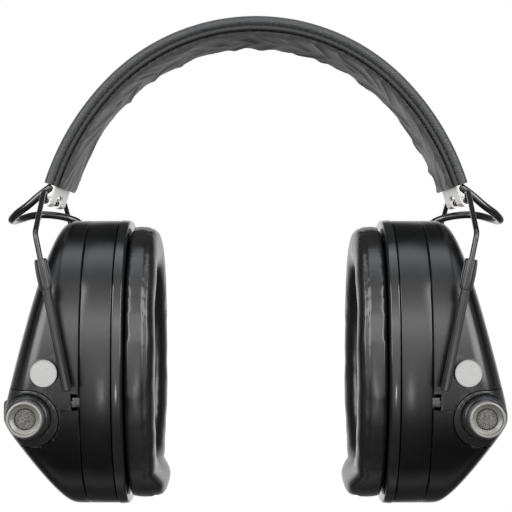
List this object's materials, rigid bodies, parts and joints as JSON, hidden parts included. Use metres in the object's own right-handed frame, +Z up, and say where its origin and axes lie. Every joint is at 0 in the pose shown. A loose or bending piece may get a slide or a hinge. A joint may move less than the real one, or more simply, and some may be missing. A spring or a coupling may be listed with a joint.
{
  "type": "earmuff hearing protector",
  "caption": "Over-ear electronic hearing protector: padded spring headband, wire yokes with sliding sleeves, slanted cups with a front microphone and oval ear cushions.",
  "frame": {"origin": "the point of the headband lining that rests on the crown of the head, on the plane of symmetry", "axes": "+Z up out of the head, +X towards the wearer's left ear, -Y the way the wearer faces"},
  "size_m": [0.1962, 0.1018, 0.1888],
  "materials": {
    "headband_leather": "grained black leather, satin",
    "headband_lining": "soft gathered leather, matt charcoal",
    "foam": "open-cell foam, dark grey",
    "spring_steel": "pale spring steel, satin",
    "stud_steel": "brushed face with a polished bevel",
    "black_wire": "black coated steel wire, semi-gloss",
    "hanger_sleeve": "black moulded nylon, satin",
    "shell": "satin black moulded plastic",
    "control_band": "satin black moulded plastic",
    "cushion_ring": "black plastic with fine speckle",
    "ear_cushion": "smooth soft vinyl, gloss",
    "gasket": "black rubber",
    "mic_cap": "satin dark grey cap",
    "mic_foam": "fine windscreen foam",
    "speaker": "dark metal frame",
    "circuit_board": "green board",
    "battery": "plain grey sleeve",
    "button": "soft-touch key",
    "lead": "glossy black jacket"
  },
  "bodies": {
    "headband": {"headband_cover": "headband_leather", "headband_foam": "foam", "spring_band": "spring_steel", "spring_leaf": "spring_steel", "front_welt": "headband_leather", "rear_welt": "headband_leather", "headband_lining": "headband_lining", "lead_in_headband": "lead", "right_lead_upper": "lead", "left_lead_upper": "lead"},
    "right_yoke": {"right_yoke_wire": "black_wire", "right_lead_loop": "lead"},
    "right_hanger": {"right_front_sleeve": "hanger_sleeve", "right_rear_sleeve": "hanger_sleeve"},
    "right_cup": {"right_front_stud": "stud_steel", "right_rear_stud": "stud_steel", "right_outer_shell": "shell", "right_inner_shell": "shell", "right_shell_gasket": "gasket", "right_cushion_ring": "cushion_ring", "right_ear_cushion": "ear_cushion", "right_foam_liner": "foam", "right_control_band": "control_band", "right_mic_housing": "control_band", "right_mic_cap": "mic_cap", "right_mic_foam": "mic_foam", "right_speaker": "speaker", "right_circuit_board": "circuit_board", "right_lead_lower": "lead", "right_lead_grommet": "gasket", "key_board": "circuit_board"},
    "left_yoke": {"left_yoke_wire": "black_wire", "left_lead_loop": "lead"},
    "left_hanger": {"left_front_sleeve": "hanger_sleeve", "left_rear_sleeve": "hanger_sleeve"},
    "left_cup": {"left_front_stud": "stud_steel", "left_rear_stud": "stud_steel", "left_outer_shell": "shell", "left_inner_shell": "shell", "left_shell_gasket": "gasket", "left_cushion_ring": "cushion_ring", "left_ear_cushion": "ear_cushion", "left_foam_liner": "foam", "left_control_band": "control_band", "left_mic_housing": "control_band", "left_mic_cap": "mic_cap", "left_mic_foam": "mic_foam", "left_speaker": "speaker", "left_circuit_board": "circuit_board", "left_lead_lower": "lead", "left_lead_grommet": "gasket", "upper_battery": "battery", "lower_battery": "battery"},
    "battery_door": {"battery_door": "control_band"},
    "power_button": {"power_button": "button"},
    "volume_up_button": {"volume_up_button": "button"},
    "volume_down_button": {"volume_down_button": "button"}
  },
  "joints": [
    {"name": "right_fold", "type": "hinge", "parent": "headband", "child": "right_yoke", "pos_m": [-0.0802, 0, -0.0634], "axis": [0, 1, 0], "range_deg": [-40, 12], "deforming": ["right_lead_upper"]},
    {"name": "right_height", "type": "slide", "parent": "right_yoke", "child": "right_hanger", "axis": [0.1993, 0, -0.9799], "range_m": [-0.004, 0.024], "deforming": ["right_lead_loop"]},
    {"name": "right_tilt", "type": "hinge", "parent": "right_hanger", "child": "right_cup", "pos_m": [-0.0758, 0, -0.1264], "axis": [0, 1, 0], "range_deg": [-8, 8], "deforming": ["right_lead_lower"]},
    {"name": "left_fold", "type": "hinge", "parent": "headband", "child": "left_yoke", "pos_m": [0.0802, 0, -0.0634], "axis": [0, 1, 0], "range_deg": [-12, 40], "deforming": ["left_lead_upper"]},
    {"name": "left_height", "type": "slide", "parent": "left_yoke", "child": "left_hanger", "axis": [-0.1993, 0, -0.9799], "range_m": [-0.004, 0.024], "deforming": ["left_lead_loop"]},
    {"name": "left_tilt", "type": "hinge", "parent": "left_hanger", "child": "left_cup", "pos_m": [0.0758, 0, -0.1264], "axis": [0, -1, 0], "range_deg": [-8, 8], "deforming": ["left_lead_lower"]},
    {"name": "battery_door_hinge", "type": "hinge", "parent": "left_cup", "child": "battery_door", "pos_m": [0.0938, 0, -0.1527], "axis": [0, 1, 0], "range_deg": [0, 95]},
    {"name": "power_press", "type": "slide", "parent": "right_cup", "child": "power_button", "axis": [1, 0, 0], "range_m": [0, 0.0008], "stiffness_N_per_m": 1200},
    {"name": "volume_up_press", "type": "slide", "parent": "right_cup", "child": "volume_up_button", "axis": [1, 0, 0], "range_m": [0, 0.0008], "stiffness_N_per_m": 1200},
    {"name": "volume_down_press", "type": "slide", "parent": "right_cup", "child": "volume_down_button", "axis": [1, 0, 0], "range_m": [0, 0.0008], "stiffness_N_per_m": 1200}
  ]
}
